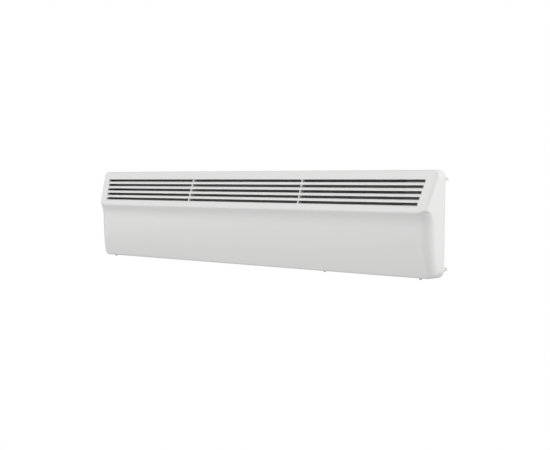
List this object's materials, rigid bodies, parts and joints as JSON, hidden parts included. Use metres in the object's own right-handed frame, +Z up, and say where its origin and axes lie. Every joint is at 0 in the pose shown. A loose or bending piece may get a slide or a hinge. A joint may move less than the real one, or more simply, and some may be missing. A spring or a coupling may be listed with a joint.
{
  "type": "convector heater",
  "caption": "Low wall-hung convector heater: white casing with a sloped slotted outlet over a curved lower panel, finned element, top control strip and latching wall bracket.",
  "frame": {"origin": "middle of the wall bracket's back face, on the wall plane", "axes": "+Z up, +Y into the wall, so the grille faces -Y; X runs along the heater and the controls are at its +X end"},
  "size_m": [0.938, 0.0807, 0.2242],
  "materials": {
    "white_powder_coat": "satin powder coat",
    "white_plastic": "fine satin",
    "galvanised_steel": "galvanised sheet",
    "aluminium": "mill finish",
    "dark_heat_coat": "matt heat-resistant coat",
    "plated_steel": "zinc plated",
    "steatite": "unglazed",
    "black_plastic": "fine satin",
    "display_gloss": "polished",
    "circuit_board": "solder mask",
    "silicone": "matt",
    "brown_insulation": "satin",
    "blue_insulation": "satin",
    "green_insulation": "satin",
    "black_insulation": "satin"
  },
  "bodies": {
    "heater": {"front_casing": "white_powder_coat", "intake_grille": "white_powder_coat", "control_panel": "white_plastic", "control_housing": "white_plastic", "room_sensor": "white_plastic", "sensor_holder": "white_plastic", "standoff_lower_left": "white_plastic", "standoff_upper_left": "white_plastic", "standoff_lower_right": "white_plastic", "standoff_upper_right": "white_plastic", "rear_tray": "galvanised_steel", "core_support_left": "galvanised_steel", "core_support_right": "galvanised_steel", "cutout_bracket": "galvanised_steel", "wall_bracket": "galvanised_steel", "heater_core": "aluminium", "air_guide": "dark_heat_coat", "wiring_bulkhead": "dark_heat_coat", "casing_screw_left": "plated_steel", "casing_screw_right": "plated_steel", "tray_screw_lower_left": "plated_steel", "tray_screw_upper_left": "plated_steel", "tray_screw_lower_right": "plated_steel", "tray_screw_upper_right": "plated_steel", "heater_sheath": "plated_steel", "terminal_pin_left": "plated_steel", "terminal_pin_right": "plated_steel", "latch_rivet_left": "plated_steel", "latch_rivet_right": "plated_steel", "pin_insulator_left": "steatite", "pin_insulator_right": "steatite", "support_bush_left": "steatite", "support_bush_right": "steatite", "overheat_cutout": "black_plastic", "terminal_block": "black_plastic", "cable_gland": "black_plastic", "gland_nut": "black_plastic", "display_module": "black_plastic", "control_relay": "black_plastic", "switch_body": "black_plastic", "display_window": "display_gloss", "control_board": "circuit_board", "keypad": "silicone", "wire_supply_live": "brown_insulation", "wire_board_to_cutout": "brown_insulation", "wire_cutout_to_core": "brown_insulation", "wire_supply_neutral": "blue_insulation", "wire_core_return": "blue_insulation", "wire_earth": "green_insulation", "wire_sensor": "black_insulation"},
    "button_down": {"button_down": "white_plastic"},
    "button_up": {"button_up": "white_plastic"},
    "button_mode": {"button_mode": "white_plastic"},
    "button_timer": {"button_timer": "white_plastic"},
    "power_switch": {"power_switch": "black_plastic"},
    "latch_left": {"latch_left": "white_plastic"},
    "latch_right": {"latch_right": "white_plastic"}
  },
  "joints": [
    {"name": "button_down_press", "type": "slide", "parent": "heater", "child": "button_down", "axis": [0, 0, -1], "range_m": [0, 0.0008], "stiffness_N_per_m": 400},
    {"name": "button_up_press", "type": "slide", "parent": "heater", "child": "button_up", "axis": [0, 0, -1], "range_m": [0, 0.0008], "stiffness_N_per_m": 400},
    {"name": "button_mode_press", "type": "slide", "parent": "heater", "child": "button_mode", "axis": [0, 0, -1], "range_m": [0, 0.0008], "stiffness_N_per_m": 400},
    {"name": "button_timer_press", "type": "slide", "parent": "heater", "child": "button_timer", "axis": [0, 0, -1], "range_m": [0, 0.0008], "stiffness_N_per_m": 400},
    {"name": "power_switch_rock", "type": "hinge", "parent": "heater", "child": "power_switch", "pos_m": [0.435, -0.0367, 0.105], "axis": [0, 1, 0], "range_deg": [-14, 0]},
    {"name": "latch_left_turn", "type": "hinge", "parent": "heater", "child": "latch_left", "pos_m": [-0.22, -0.008, 0.0958], "axis": [0, 0, 1], "range_deg": [-90, 0]},
    {"name": "latch_right_turn", "type": "hinge", "parent": "heater", "child": "latch_right", "pos_m": [0.22, -0.008, 0.0958], "axis": [0, 0, 1], "range_deg": [0, 90]}
  ]
}
